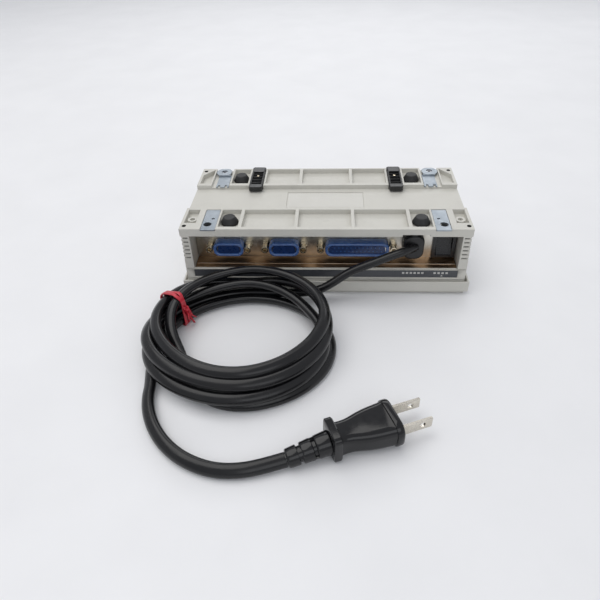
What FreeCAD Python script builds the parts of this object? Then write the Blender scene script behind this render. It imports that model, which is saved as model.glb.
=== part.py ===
"""Small mains-powered desktop instrument, lying upside down on its top cover.

Frame: millimetres, +Z up out of the underside with its feet, -Y towards the rear panel with its
connectors and mains lead, +X to the right as the rear panel is faced.  The origin is the middle of
the footprint, at the surface that the top cover lies on.
"""

import FreeCAD, Part

import math
import os
import re

import Sketcher

V = FreeCAD.Vector
os.makedirs("parts", exist_ok=True)
doc = FreeCAD.newDocument("instrument")

# ---------------------------------------------------------------- driving dimensions
DIMENSIONS = {
    # casing
    "case_half": 91.0,          # half the casing's width
    "depth_half": 42.5,         # half the casing's depth
    "rail_top": 48.5,           # top of the rails, above the surface
    "wall": 2.4,
    "ring_wall": 3.6,           # wall of the upper casing
    "side_flare": 0.7,          # the lower casing widens by this much down to the seam
    "lid_over": 2.6,            # overhang of the top cover, front and rear
    "lid_side": 2.8,            # overhang of the top cover at the sides
    "lid_top": 10.3,
    "lid_step": 2.6,            # height of the set-back step that the cover lies on
    "lid_floor": 3.2,           # inner floor of the cover
    "dish_edge": 9.0,           # border of the shallow dish under the cover
    "label_edge": 9.5,
    "dish_deep": 0.8,
    "rim_wall": 1.2,            # cover's outer rim, round a channel beside the casing
    "channel_deep": 3.2,
    "step_back": 2.2,
    "seam_gap": 0.5,
    "seam": 18.7,               # seam between the two casing shells
    "groove_high": 0.5,         # groove that marks the seam
    "groove_deep": 0.8,
    "rail_depth": 26.6,
    "deck_drop": 2.9,
    "rail_lip": 5.3,            # height of the rear rail's outer face
    "pocket_deep": 3.2,
    "pocket_wall": 3.2,
    "gusset_wide": 7.6,         # corner gusset that carries a casing screw
    "gusset_long": 9.1,
    "thin_wall": 1.4,
    "rib_inner": 17.8,
    "rib_outer": 53.1,
    "rib_wide": 2.2,
    "foot_side": 66.8,
    "plate_in": 68.2,
    "plate_out": 79.0,
    "corner_in": 81.6,
    "corner_out": 89.2,
    "recess_half": 85.2,
    "recess_deep": 13.0,
    "recess_floor": 19.4,
    "ceiling": 40.5,            # top of the room inside
    "screw_side": 88.4,
    "screw_row": 38.4,
    "well_radius": 1.4,
    "well_deep": 5.0,
    "fixing_side": 73.8,        # open hole in each rear plate
    "fixing_row": 36.1,
    "eye_side": 74.5,           # screw in the eye of each front plate
    "eye_row": 37.5,
    # rear panel and its fittings
    "sheet": 1.0,
    "bend_row": 37.4,           # bend between the recess floor and its flange
    "shelf_thick": 0.4,         # shelf that lies on the upper casing's edge
    "port_level": 28.8,
    "serial_left": -62.7,
    "serial_right": -26.3,
    "parallel_at": 21.0,
    "serial_pitch": 24.99,
    "parallel_pitch": 47.04,
    "serial_wide": 16.6,
    "parallel_wide": 38.6,
    "port_high": 8.2,
    "port_stand": 5.9,
    "screw_flats": 4.75,
    "screw_stand": 7.0,
    "screw_nut": 2.6,           # hexagon against the panel
    "screw_neck": 1.9,
    "screw_ring": 2.3,
    "screw_ring_long": 1.8,
    "cap_rim": 1.0,
    "cap_stand": 7.0,
    "bush_at": 56.6,
    "bush_level": 32.5,
    "bush_wide": 13.1,
    "bush_high": 17.2,
    "bush_stand": 10.0,
    "notch_half": 8.4,          # room in the rail over the bushing
    "notch_high": 1.3,
    "switch_at": 77.1,
    "switch_level": 30.6,
    "switch_wide": 15.0,
    "switch_high": 21.0,
    "bezel": 1.5,
    "rocker_wide": 9.6,
    "rocker_high": 16.4,
    "rocker_room": 0.8,
    "pivot_back": 1.4,          # rocker's pivot behind the panel's face
    "pivot_radius": 0.9,
    "pivot_long": 0.8,
    "strip_half": 85.8,
    "strip_low": 12.3,
    "strip_high": 17.6,
    # feet, plates and tilt legs
    "foot_at": 60.8,
    "foot_row": 29.5,
    "foot_radius": 5.7,
    "foot_top": 50.0,
    "foot_straight": 0.9,
    "foot_taper": 2.0,
    "leg_in": 44.2,
    "leg_out": 53.4,
    "hinge_row": 40.4,
    "hinge_level": 46.7,
    "barrel_radius": 3.3,
    "stub_radius": 1.25,
    "stub_long": 0.9,
    "leg_top": 50.0,
    "leg_tip": 10.6,
    "leg_thick": 3.0,
    # front panel
    "front_back": 38.5,
    "front_low": 12.2,
    "front_high": 38.0,
    "front_set": 1.2,           # panel's face behind the casing's
    "key_row": 22.0,
    "key_wide": 11.0,
    "key_high": 6.6,
    "key_pitch": 14.0,
    "key_first": 8.0,
    "key_stand": 1.4,
    "key_flange": 0.9,
    "window_left": -72.0,
    "window_right": -4.0,
    "window_low": 16.0,
    "window_high": 34.0,
    # inside
    "board_low": 22.5,
    "board_thick": 1.6,
    "board_rear": -16.0,
    "board_front": 29.5,
    "post_side": 80.0,
    "post_rear": -12.0,
    "post_front": 26.0,
    # mains lead
    "cord_radius": 3.4,
    "coil_across": 60.4,
    "coil_along": 52.2,
    "hole_across": 38.6,
    "hole_along": 33.2,
    "coil_x": -50.0,
    "coil_y": -97.6,
    "coil_high": 25.6,
    "plug_x": 34.6,
    "plug_y": -156.0,
    "plug_turn": 22.0,
    "plug_axis": 8.0,
}

sheet = doc.addObject("Spreadsheet::Sheet", "dims")
for row, (word, value) in enumerate(DIMENSIONS.items(), start=1):
    sheet.set(f"A{row}", word)
    sheet.set(f"B{row}", str(value))
    sheet.setAlias(f"B{row}", word)
doc.recompute()


def formula(text):
    """Turn plain words of the sheet into references to its cells."""
    return re.sub(r"[a-z][a-z_]+", lambda m: "dims." + m[0] if m[0] in DIMENSIONS else m[0], str(text))


def size(word):
    return float(getattr(sheet, word))


def bind(obj, **links):
    for prop, text in links.items():
        obj.setExpression(prop.replace("_of_", "."), formula(text))
    return obj


def place(obj, x="0", y="0", z="0"):
    for axis, text in (("x", x), ("y", y), ("z", z)):
        obj.setExpression(f"Placement.Base.{axis}", formula(text))
    return obj


# ---------------------------------------------------------------- building blocks
counter = {}


def fresh(kind):
    counter[kind] = counter.get(kind, 0) + 1
    return f"{kind}_{counter[kind]}"


def block(xs, ys, zs):
    """A box between two formulas on each axis."""
    box = doc.addObject("Part::Box", fresh("block"))
    spans = {"Length": xs, "Width": ys, "Height": zs}
    for prop, (low, high) in spans.items():
        box.setExpression(prop, formula(f"({high}) - ({low})"))
    return place(box, xs[0], ys[0], zs[0])


TURNS = {
    "x": FreeCAD.Rotation(V(0, 1, 0), 90),
    "y": FreeCAD.Rotation(V(1, 0, 0), -90),
    "z": FreeCAD.Rotation(),
}


def rod(radius, length, at, along="z"):
    """A cylinder from a point along +X, +Y or +Z."""
    cylinder = doc.addObject("Part::Cylinder", fresh("rod"))
    cylinder.Placement = FreeCAD.Placement(V(), TURNS[along])
    bind(cylinder, Radius=radius, Height=length)
    return place(cylinder, *at)


def prism(sides, radius, length, at, along="z"):
    """A regular prism; radius is out to the corners."""
    body = doc.addObject("Part::Prism", fresh("prism"))
    body.Polygon = sides
    body.Placement = FreeCAD.Placement(V(), TURNS[along])
    bind(body, Circumradius=radius, Height=length)
    return place(body, *at)


def joined(pieces):
    if len(pieces) == 1:
        return pieces[0]
    fuse = doc.addObject("Part::MultiFuse", fresh("fuse"))
    fuse.Shapes = pieces
    return fuse


def cut(base, tools):
    result = doc.addObject("Part::Cut", fresh("cut"))
    result.Base = base
    result.Tool = joined(tools)
    return result


def common(base, tool):
    result = doc.addObject("Part::MultiCommon", fresh("common"))
    result.Shapes = [base, tool]
    return result


def group(pieces):
    """Separate solids that share one node."""
    holder = doc.addObject("Part::Compound", fresh("group"))
    holder.Links = pieces
    return holder


PLANES = {"XY": "XY_Plane", "XZ": "XZ_Plane", "YZ": "YZ_Plane"}


def plane_of(body, name):
    return [f for f in body.Origin.OriginFeatures if f.Role == PLANES[name]][0]


def outline_sketch(body, plane, corners):
    """A closed outline whose corners are pairs of formulas, each held by two dimensions.

    It is first drawn as a regular polygon, and its dimensions then move it into shape.
    """
    sketch = body.newObject("Sketcher::SketchObject", fresh("outline"))
    sketch.AttachmentSupport = [(plane_of(body, plane), "")]
    sketch.MapMode = "FlatFace"
    count = len(corners)
    turn = math.tau / count
    drawn = [V(10 * math.cos(turn * i), 10 * math.sin(turn * i), 0) for i in range(count)]
    for i in range(count):
        sketch.addGeometry(Part.LineSegment(drawn[i], drawn[(i + 1) % count]), False)
    for i in range(count):
        sketch.addConstraint(Sketcher.Constraint("Coincident", i, 2, (i + 1) % count, 1))
    for i, (across, up) in enumerate(corners):
        for kind, text, value in (("DistanceX", across, drawn[i].x), ("DistanceY", up, drawn[i].y)):
            number = sketch.addConstraint(Sketcher.Constraint(kind, -1, 1, i, 1, value))
            sketch.setExpression(f"Constraints[{number}]", formula(text))
    return sketch


def padded(plane, corners, length, shift=("0", "0", "0")):
    """A PartDesign body: an outline padded to both sides of its plane."""
    body = doc.addObject("PartDesign::Body", fresh("body"))
    sketch = outline_sketch(body, plane, corners)
    pad = body.newObject("PartDesign::Pad", fresh("pad"))
    pad.Profile = sketch
    pad.Midplane = True
    bind(pad, Length=length)
    body.Tip = pad
    return place(body, *shift)


NODES = {}


def node(label, obj):
    """Name a finished sub-part."""
    obj.Label = label
    NODES[label] = obj
    return obj


def span(side, low, high):
    """A span in X between two distances from the middle, at one side."""
    return (f"{side} * ({high})", f"{side} * ({low})") if side < 0 else (low, high)


# ---------------------------------------------------------------- top cover, on which it lies
def make_top_cover():
    rim = block(
        ("-(case_half + lid_side)", "case_half + lid_side"),
        ("-(depth_half + lid_over)", "depth_half + lid_over"),
        ("lid_step", "lid_top"),
    )
    step = block(
        ("-(case_half + lid_side - step_back)", "case_half + lid_side - step_back"),
        ("-(depth_half + lid_over - step_back)", "depth_half + lid_over - step_back"),
        ("0", "lid_step"),
    )
    hollow = block(
        ("-(case_half - wall)", "case_half - wall"),
        ("-(depth_half - wall)", "depth_half - wall"),
        ("lid_floor", "lid_top + 1"),
    )
    dish = block(
        ("-(case_half - dish_edge)", "case_half - dish_edge"),
        ("-(depth_half - dish_edge)", "depth_half - dish_edge"),
        ("-1", "dish_deep"),
    )
    room = block(
        ("-(case_half + lid_side - rim_wall)", "case_half + lid_side - rim_wall"),
        ("-(depth_half + lid_over - rim_wall)", "depth_half + lid_over - rim_wall"),
        ("lid_top - channel_deep", "lid_top + 1"),
    )
    kept = block(
        ("-case_half", "case_half"), ("-depth_half", "depth_half"),
        ("lid_top - channel_deep - 1", "lid_top + 2"))
    node("top_cover", cut(joined([rim, step]), [hollow, dish, cut(room, [kept])]))


def make_top_label():
    node("top_label", block(
        ("-(case_half - label_edge)", "case_half - label_edge"),
        ("-(depth_half - label_edge)", "depth_half - label_edge"),
        ("dish_deep / 2", "dish_deep")))


# ---------------------------------------------------------------- upper casing, a ring
def make_upper_case():
    ring = block(
        ("-case_half", "case_half"), ("-depth_half", "depth_half"), ("lid_top + seam_gap", "seam"))
    tongue = block(
        ("-(case_half - wall - 0.2)", "case_half - wall - 0.2"),
        ("-(depth_half - wall - 0.2)", "depth_half - wall - 0.2"),
        ("lid_top - 3", "lid_top + seam_gap"),
    )
    inside = block(
        ("-(case_half - ring_wall)", "case_half - ring_wall"),
        ("-(depth_half - ring_wall)", "depth_half - ring_wall"),
        ("0", "seam + 1"),
    )
    strip_seat = block(
        ("-(strip_half + 0.2)", "strip_half + 0.2"),
        ("-depth_half - 1", "-depth_half + 0.5"),
        ("strip_low - 0.2", "strip_high + 0.2"),
    )
    front_seat = block(
        ("-recess_half", "recess_half"), ("front_back - 0.1", "depth_half + 1"),
        ("front_low - 0.1", "seam + 1"))
    beside = block(
        ("-case_half - 1", "case_half + 1"), ("-depth_half - 1", "depth_half + 1"),
        ("seam - groove_high", "seam + 1"))
    kept = block(
        ("-(case_half - groove_deep)", "case_half - groove_deep"),
        ("-(depth_half - groove_deep)", "depth_half - groove_deep"), ("seam - groove_high - 1", "seam + 2"))
    groove = cut(beside, [kept])
    node("upper_case", cut(joined([ring, tongue]), [inside, strip_seat, front_seat, groove]))


def make_label_strip():
    strip = block(
        ("-strip_half", "strip_half"), ("-depth_half + 0.1", "-depth_half + 0.5"),
        ("strip_low", "strip_high"))
    node("label_strip", strip)


# ---------------------------------------------------------------- lower casing with its rails
def rail_pockets(front):
    """The pockets of one rail; front is 1 for the rail over the front panel."""
    if front > 0:
        row = ("depth_half - rail_depth + pocket_wall", "depth_half - thin_wall")
    else:
        row = ("-depth_half + pocket_wall", "-depth_half + rail_depth - 2.2")
    deep = ("rail_top - pocket_deep", "rail_top + 1")
    tools = [block(("-(rib_inner - rib_wide / 2)", "rib_inner - rib_wide / 2"), row, deep)]
    for side in (-1, 1):
        leg_edge = "leg_in - 1.6" if front > 0 else "rib_outer - rib_wide / 2"
        tools.append(block(span(side, "rib_inner + rib_wide / 2", leg_edge), row, deep))
        foot_in = "leg_out + 1.6" if front > 0 else "rib_outer + rib_wide / 2"
        tools.append(block(span(side, foot_in, "foot_side"), row, deep))
        corner = row if front > 0 else ("-depth_half + 7.8", row[1])
        corner_pocket = block(span(side, "corner_in", "corner_out"), corner, deep)
        tools.append(cut(corner_pocket, [corner_gusset(side) if front > 0 else ring_boss(side)]))
    return tools


def corner_gusset(side):
    """A triangle left standing across the outer corner of a front corner pocket, round a casing screw."""
    out, edge = f"{side} * corner_out", "depth_half - thin_wall"
    return padded("XY", [
        (out, edge), (f"{side} * (corner_out - gusset_wide)", edge), (out, f"{edge} - gusset_long"),
    ], "4 * pocket_deep", ("0", "0", "rail_top"))


def ring_boss(side):
    """A short round boss with a blind hole, left standing in a rear corner pocket."""
    at = (f"{side} * 85", "-28.6", "rail_top - pocket_deep - 1")
    return cut(rod("3.1", "pocket_deep", at), [rod("1.6", "pocket_deep + 1", at)])


def plate_channels():
    """Shallow channels for the plated fixing plates, with clearance for their screws."""
    tools = []
    for side in (-1, 1):
        across = span(side, "plate_in - 0.2", "plate_out - 1.4")
        rear = ("-depth_half - 1", "-depth_half + rail_depth - 2")
        tools.append(block(across, rear, ("rail_top - 1.2", "rail_top + 1")))
        across = span(side, "plate_in - 0.2", "plate_out + 1.6")
        front = ("depth_half - rail_depth - 1", "depth_half + 1")
        tools.append(block(across, front, ("rail_top - 1.8", "rail_top + 1")))
    return tools


def leg_slots():
    """A slot for each tilt leg, open at both ends, with a bore for its stubs."""
    tools = []
    for side in (-1, 1):
        across = span(side, "leg_in - 0.3", "leg_out + 0.3")
        row = ("depth_half - rail_depth - 1", "depth_half + 1")
        tools.append(block(across, row, ("hinge_level - barrel_radius - 0.5", "rail_top + 1")))
        low = "leg_in - 0.3 - stub_long" if side > 0 else "-(leg_out + 0.3 + stub_long)"
        tools.append(rod("stub_radius + 0.06", "leg_out - leg_in + 0.6 + 2 * stub_long",
                         (low, "hinge_row", "hinge_level"), "x"))
    return tools


def louvres():
    """Six short grooves across each rear pillar and on along both sides."""
    tools = []
    for i in range(6):
        level = f"rail_top - rail_lip - 1.9 - {i} * 2.95"
        for side in (-1, 1):
            corner = span(side, "case_half - 4.8", "case_half + 2")
            tools.append(block(corner, ("-depth_half - 1", "-depth_half + 0.9"), (level, f"{level} + 1")))
            edge = span(side, "case_half - 1.5", "case_half + 2")
            tools.append(block(edge, ("-depth_half - 1", "-depth_half + 60"), (level, f"{level} + 1")))
    return tools


def make_lower_case():
    skirt = padded("XZ", [
        ("-case_half", "seam"), ("case_half", "seam"),
        ("case_half - side_flare", "rail_top - rail_lip"),
        ("-(case_half - side_flare)", "rail_top - rail_lip"),
    ], "2 * depth_half")
    rails = [
        block(("-case_half", "case_half"), row, ("rail_top - rail_lip", "rail_top"))
        for row in (("-depth_half", "-depth_half + rail_depth"), ("depth_half - rail_depth", "depth_half"))
    ]
    deck = block(
        ("-case_half", "case_half"), ("-depth_half + 5", "depth_half - 5"),
        ("rail_top - rail_lip", "rail_top - deck_drop"))
    inside = block(
        ("-(case_half - wall)", "case_half - wall"),
        ("-depth_half + recess_deep + sheet + 0.2", "depth_half - 6.2"),
        ("seam - 1", "ceiling"),
    )
    front_opening = block(
        ("-recess_half", "recess_half"), ("depth_half - 7", "depth_half + 1"),
        ("seam - 1", "front_high + 0.2"))
    rear_recess = block(
        ("-recess_half", "recess_half"),
        ("-depth_half - 1", "-depth_half + recess_deep + sheet + 0.4"),
        ("seam - 1", "rail_top - rail_lip"),
    )
    bush_notch = block(("bush_at - notch_half", "bush_at + notch_half"),
                       ("-depth_half - 1", "-depth_half + recess_deep"),
                       ("rail_top - rail_lip - 1", "rail_top - rail_lip + notch_high"))
    label_seat = block(("-26", "26"), ("-10", "11"), ("rail_top - deck_drop - 0.4", "rail_top"))
    holes = [
        rod("well_radius", "well_deep + 1",
            (f"{side} * screw_side", f"{row} * screw_row", "rail_top - well_deep"))
        for side in (-1, 1) for row in (-1, 1)
    ]
    for side in (-1, 1):
        holes.append(rod("2.1", "5", (f"{side} * fixing_side", "-fixing_row", "rail_top - 4.2")))
        holes.append(rod("1.2", "5", (f"{side} * eye_side", "eye_row", "rail_top - 5.6")))
    tools = [inside, front_opening, rear_recess, bush_notch, label_seat] + holes
    for front in (-1, 1):
        tools += rail_pockets(front)
    tools += plate_channels() + leg_slots() + louvres()
    node("lower_case", cut(joined([skirt, deck] + rails), tools))


def make_case_screws():
    screws = []
    for side in (-1, 1):
        for row in (-1, 1):
            across, along = f"{side} * screw_side", f"{row} * screw_row"
            head = rod("well_radius - 0.1", "1.4", (across, along, "rail_top - well_deep"))
            socket = prism(6, "0.7", "2", (across, along, "rail_top - well_deep + 0.6"))
            screws.append(cut(head, [socket]))
    node("case_screws", group(screws))


def make_underside_label():
    node("underside_label", block(
        ("-25.6", "25.6"), ("-9.6", "10.6"), ("rail_top - deck_drop - 0.4", "rail_top - deck_drop - 0.15")))


# ---------------------------------------------------------------- plated fixing plates
def make_plates():
    for side, word in ((-1, "left"), (1, "right")):
        across = span(side, "plate_in", "plate_out - 1.6")
        flat = block(across, ("-depth_half - 0.3", "-depth_half + rail_depth - 2.4"),
                     ("rail_top - 1.2", "rail_top - 0.2"))
        hole = rod("2.5", "3", (f"{side} * fixing_side", "-fixing_row", "rail_top - 2"))
        slot = block(span(side, "70.4", "72.2"), ("-depth_half + 12.6", "-depth_half + 14"),
                     ("rail_top - 2", "rail_top"))
        node(f"rear_plate_{word}", cut(flat, [hole, slot]))

        head = block(span(side, "plate_in + 1", "plate_out + 1.4"), ("depth_half - 11", "depth_half - 0.4"),
                     ("rail_top - 0.8", "rail_top + 0.2"))
        eye = rod("5.7", "1", (f"{side} * eye_side", "eye_row - 0.6", "rail_top - 0.8"))
        riser = block(span(side, "plate_in + 1", "plate_out - 1"), ("depth_half - 11", "depth_half - 10"),
                      ("rail_top - 1.8", "rail_top + 0.2"))
        neck = block(span(side, "plate_in + 0.4", "plate_out - 1.6"),
                     ("depth_half - rail_depth - 0.4", "depth_half - 10"),
                     ("rail_top - 1.8", "rail_top - 0.8"))
        bore = rod("2.1", "3", (f"{side} * eye_side", "eye_row", "rail_top - 2"))
        slots = [
            block(span(side, low, high), ("depth_half - rail_depth - 1", "depth_half - rail_depth + 2.4"),
                  ("rail_top - 3", "rail_top"))
            for low, high in (("69.6", "71.4"), ("74.6", "76.4"))
        ]
        node(f"front_plate_{word}", cut(joined([common(head, eye), riser, neck]), [bore] + slots))


def make_plate_screws():
    """A small screw through the eye of each front plate."""
    screws = []
    for side in (-1, 1):
        across = f"{side} * eye_side"
        shank = rod("1.2", "3.8", (across, "eye_row", "rail_top - 5.6"))
        head = rod("1.9", "1.4", (across, "eye_row", "rail_top - 1.8"))
        socket = prism(6, "0.9", "2", (across, "eye_row", "rail_top - 1.2"))
        screws.append(cut(joined([shank, head]), [socket]))
    node("plate_screws", group(screws))


# ---------------------------------------------------------------- rubber feet and tilt legs
def make_feet():
    names = {(-1, -1): "rear_left", (1, -1): "rear_right", (-1, 1): "front_left", (1, 1): "front_right"}
    for (side, row), word in names.items():
        at = (f"{side} * foot_at", f"{row} * foot_row", "rail_top - pocket_deep")
        stem = rod("foot_radius", "foot_straight", at)
        crown = doc.addObject("Part::Cone", fresh("cone"))
        bind(crown, Radius1="foot_radius", Radius2="foot_radius - foot_taper",
             Height="foot_top - rail_top + pocket_deep - foot_straight")
        place(crown, at[0], at[1], "rail_top - pocket_deep + foot_straight")
        node(f"foot_{word}", joined([stem, crown]))


def make_tilt_legs():
    for side, word in ((-1, "left"), (1, "right")):
        wide = "leg_out - leg_in"
        middle = f"{side} * (leg_in + leg_out) / 2"
        blade = padded("YZ", [
            ("hinge_row", "leg_top - leg_thick"),
            ("hinge_row", "leg_top"),
            ("leg_tip + 2", "leg_top"),
            ("leg_tip", "leg_top - 1.6"),
            ("leg_tip + 0.6", "leg_top - 3.4"),
            ("leg_tip + 3.6", "leg_top - 3.8"),
            ("leg_tip + 6.4", "leg_top - leg_thick"),
        ], wide, (middle, "0", "0"))
        barrel = rod("barrel_radius", wide, (f"{middle} - ({wide}) / 2", "hinge_row", "hinge_level"), "x")
        stubs = rod("stub_radius", f"{wide} + 2 * stub_long",
                    (f"{middle} - ({wide}) / 2 - stub_long", "hinge_row", "hinge_level"), "x")
        windows = [
            block((f"{middle} + {low}", f"{middle} + {low} + 1.9"), ("hinge_row - 12", "hinge_row - 4"),
                  ("leg_top - leg_thick - 1", "leg_top + 1"))
            for low in (-2.4, 0.5)
        ]
        node(f"tilt_leg_{word}", cut(joined([blade, barrel, stubs]), windows))


# ---------------------------------------------------------------- rear panel and its connectors
PORTS = (
    ("serial_left", "serial_left", "serial_pitch", "serial_wide", (5, 4)),
    ("serial_right", "serial_right", "serial_pitch", "serial_wide", (5, 4)),
    ("parallel", "parallel_at", "parallel_pitch", "parallel_wide", (13, 12)),
)
PANEL = "-depth_half + recess_deep"


def dee(centre, wide, high, rear, front):
    """A D-shaped block, its long side down; rear and front are its ends along Y."""
    half, tall = f"({wide}) / 2", f"({high}) / 2"
    body = padded("XZ", [
        (f"-({half}) + 0.8", f"-({tall})"), (f"({half}) - 0.8", f"-({tall})"),
        (f"{half}", f"-({tall}) + 0.8"), (f"({half}) - 1.2", f"({tall}) - 1"),
        (f"({half}) - 2.2", tall), (f"-({half}) + 2.2", tall),
        (f"-({half}) + 1.2", f"({tall}) - 1"), (f"-({half})", f"-({tall}) + 0.8"),
    ], f"({rear}) - ({front})", (centre, f"(({rear}) + ({front})) / 2", "port_level"))
    return body


def make_rear_panel():
    across = ("-recess_half + 0.4", "recess_half - 0.4")
    wall_sheet = block(across, (PANEL, f"{PANEL} + sheet"),
                       ("recess_floor - sheet", "rail_top - rail_lip - 0.4"))
    lip = "-bend_row"
    floor = block(across, (lip, PANEL), ("recess_floor - sheet", "recess_floor"))
    flange = block(across, (lip, f"{lip} + sheet"), ("recess_floor - 5", "recess_floor"))
    shelf = block(across, ("-depth_half + 0.9", lip), ("seam + 0.02", "seam + 0.02 + shelf_thick"))
    tools = []
    for _, centre, pitch, wide, _ in PORTS:
        tools.append(dee(centre, f"{wide} + 0.4", "port_high + 0.4", f"{PANEL} + sheet + 1", f"{PANEL} - 1"))
        for side in (-1, 1):
            at = (f"{centre} + {side} * {pitch} / 2", f"{PANEL} - 1", "port_level")
            tools.append(rod("1.6", "sheet + 2", at, "y"))
    tools.append(block(("bush_at - 5.4", "bush_at + 5.4"), (f"{PANEL} - 1", f"{PANEL} + sheet + 1"),
                       ("bush_level - 6.2", "bush_level + 6.2")))
    tools.append(block(("switch_at - 6.5", "switch_at + 6.5"), (f"{PANEL} - 1", f"{PANEL} + sheet + 1"),
                       ("switch_level - 10", "switch_level + 10")))
    node("rear_panel", cut(joined([wall_sheet, floor, flange, shelf]), tools))


def make_connectors():
    pins = []
    for word, centre, pitch, wide, (long_row, short_row) in PORTS:
        behind = f"{PANEL} + sheet"
        skin = dee(centre, wide, "port_high", behind, f"{PANEL} - port_stand")
        bore = dee(centre, f"{wide} - 1", "port_high - 1", f"{behind} + 1", f"{PANEL} - port_stand - 1")
        flange = block((f"{centre} - {pitch} / 2 - 3", f"{centre} + {pitch} / 2 + 3"),
                       (behind, f"{behind} + 0.8"), ("port_level - 6.2", "port_level + 6.2"))
        throat = dee(centre, f"{wide} - 1", "port_high - 1", f"{behind} + 2", f"{behind} - 1")
        holes = [rod("1.6", "3", (f"{centre} + {side} * {pitch} / 2", f"{behind} - 1", "port_level"), "y")
                 for side in (-1, 1)]
        node(f"{word}_shell", cut(joined([skin, flange]), [bore, throat] + holes))
        insert = dee(centre, f"{wide} - 1.1", "port_high - 1.1", f"{behind} + 5", f"{PANEL} - 0.6")
        node(f"{word}_insert", insert)
        for count, level in ((long_row, "port_level - 1.42"), (short_row, "port_level + 1.42")):
            for i in range(count):
                at = (f"{centre} + ({i} - {(count - 1) / 2}) * 2.77", f"{PANEL} - 4.6", level)
                pins.append(rod("0.5", "4", at, "y"))
    node("connector_pins", group(pins))


def make_dust_caps():
    for word, centre, _, wide, _ in PORTS:
        room = "3.4" if word != "parallel" else "2.6"
        outer = dee(centre, f"{wide} + {room}", "port_high + 1.8", f"{PANEL} - 0.4", f"{PANEL} - cap_stand")
        hollow = dee(centre, f"{wide} + 0.1", "port_high + 0.1", f"{PANEL} + 1",
                     f"{PANEL} - cap_stand + cap_rim")
        node(f"dust_cap_{word}", cut(outer, [hollow]))


def make_jackscrews():
    screws = []
    corner = "screw_flats / 2 / cos(30)"
    for _, centre, pitch, _, _ in PORTS:
        for side in (-1, 1):
            across = f"{centre} + {side} * {pitch} / 2"
            nut = prism(6, corner, "screw_nut", (across, f"{PANEL} - screw_nut", "port_level"), "y")
            post = rod("screw_neck", "screw_stand", (across, f"{PANEL} - screw_stand", "port_level"), "y")
            ring = rod("screw_ring", "screw_ring_long", (across, f"{PANEL} - screw_stand", "port_level"), "y")
            bore = rod("1.4", "4.5", (across, f"{PANEL} - screw_stand - 0.5", "port_level"), "y")
            screws.append(cut(joined([nut, post, ring]), [bore]))
    node("jackscrews", group(screws))


def make_cord_bushing():
    half, tall = "bush_wide / 2", "bush_high / 2"
    head = padded("XZ", [
        (f"-({half}) + 3.6", f"-({tall})"), (f"({half}) - 3.6", f"-({tall})"),
        (half, f"-({tall}) + 4.4"), (half, f"({tall}) - 4.4"),
        (f"({half}) - 3.6", tall), (f"-({half}) + 3.6", tall),
        (f"-({half})", f"({tall}) - 4.4"), (f"-({half})", f"-({tall}) + 4.4"),
    ], "bush_stand", ("bush_at", f"{PANEL} - bush_stand / 2", "bush_level"))
    key = block(("bush_at - 1.8", "bush_at + 1.8"), (f"{PANEL} - bush_stand + 1", PANEL),
                ("bush_level + bush_high / 2 - 1", "bush_level + bush_high / 2 + 1.6"))
    neck = block(("bush_at - 5.3", "bush_at + 5.3"), (f"{PANEL} - 0.5", f"{PANEL} + 6"),
                 ("bush_level - 6.1", "bush_level + 6.1"))
    node("cord_bushing", joined([head, key, neck]))


def make_switch():
    face = f"{PANEL} - bezel"
    bezel = block(("switch_at - switch_wide / 2", "switch_at + switch_wide / 2"), (face, PANEL),
                  ("switch_level - switch_high / 2", "switch_level + switch_high / 2"))
    body = block(("switch_at - 6.4", "switch_at + 6.4"), (PANEL, f"{PANEL} + 12"),
                 ("switch_level - 9.9", "switch_level + 9.9"))
    well = block(("switch_at - rocker_wide / 2 - 0.3", "switch_at + rocker_wide / 2 + 0.3"),
                 (f"{face} - 1", f"{PANEL} + 8"),
                 ("switch_level - rocker_high / 2 - rocker_room",
                  "switch_level + rocker_high / 2 + rocker_room"))
    reach = "rocker_wide / 2 + pivot_long"
    axis = (f"{PANEL} + pivot_back", "switch_level")
    bore = rod("pivot_radius + 0.06", f"2 * ({reach}) + 0.2", (f"switch_at - ({reach}) - 0.1", *axis), "x")
    node("switch_housing", cut(joined([bezel, body]), [well, bore]))
    tall = "rocker_high / 2"
    # The outline is in Y and Z about the rocker's pivot; its lower end stands out of the bezel.
    paddle = padded("YZ", [
        ("2.6", "0"), ("1.2", f"({tall}) - 0.6"), ("-1.6", f"({tall})"), ("-2.2", f"({tall}) - 0.6"),
        ("-0.9", "0"), ("-3.9", f"-({tall}) + 0.6"), ("-3.2", f"-({tall}) + 0.1"),
        ("1.0", f"-({tall}) + 0.9"),
    ], "rocker_wide", ("switch_at", *axis))
    pin = rod("pivot_radius", f"2 * ({reach})", (f"switch_at - ({reach})", *axis), "x")
    node("power_rocker", joined([paddle, pin]))


# ---------------------------------------------------------------- front panel, display and keys
KEYS = range(1, 6)
PANEL_FACE = "depth_half - front_set"


def make_front_panel():
    plate = block(("-recess_half + 0.2", "recess_half - 0.2"), ("front_back", PANEL_FACE),
                  ("front_low", "front_high"))
    window = block(("window_left", "window_right"), ("front_back - 1", "depth_half"),
                   ("window_low", "window_high"))
    tools = [window]
    for i in KEYS:
        left, low = key_corner(i)
        tools.append(block((f"{left} - 0.3", f"{left} + key_wide + 0.3"), ("front_back - 1", "depth_half"),
                           (f"{low} - 0.3", f"{low} + key_high + 0.3")))
    node("front_panel", cut(plate, tools))
    node("display_window", block(("window_left + 0.1", "window_right - 0.1"),
                                 ("front_back + 0.2", f"{PANEL_FACE} - 0.2"),
                                 ("window_low + 0.1", "window_high - 0.1")))


def key_corner(i):
    return f"key_first + {i - 1} * key_pitch", "key_row"


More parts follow.
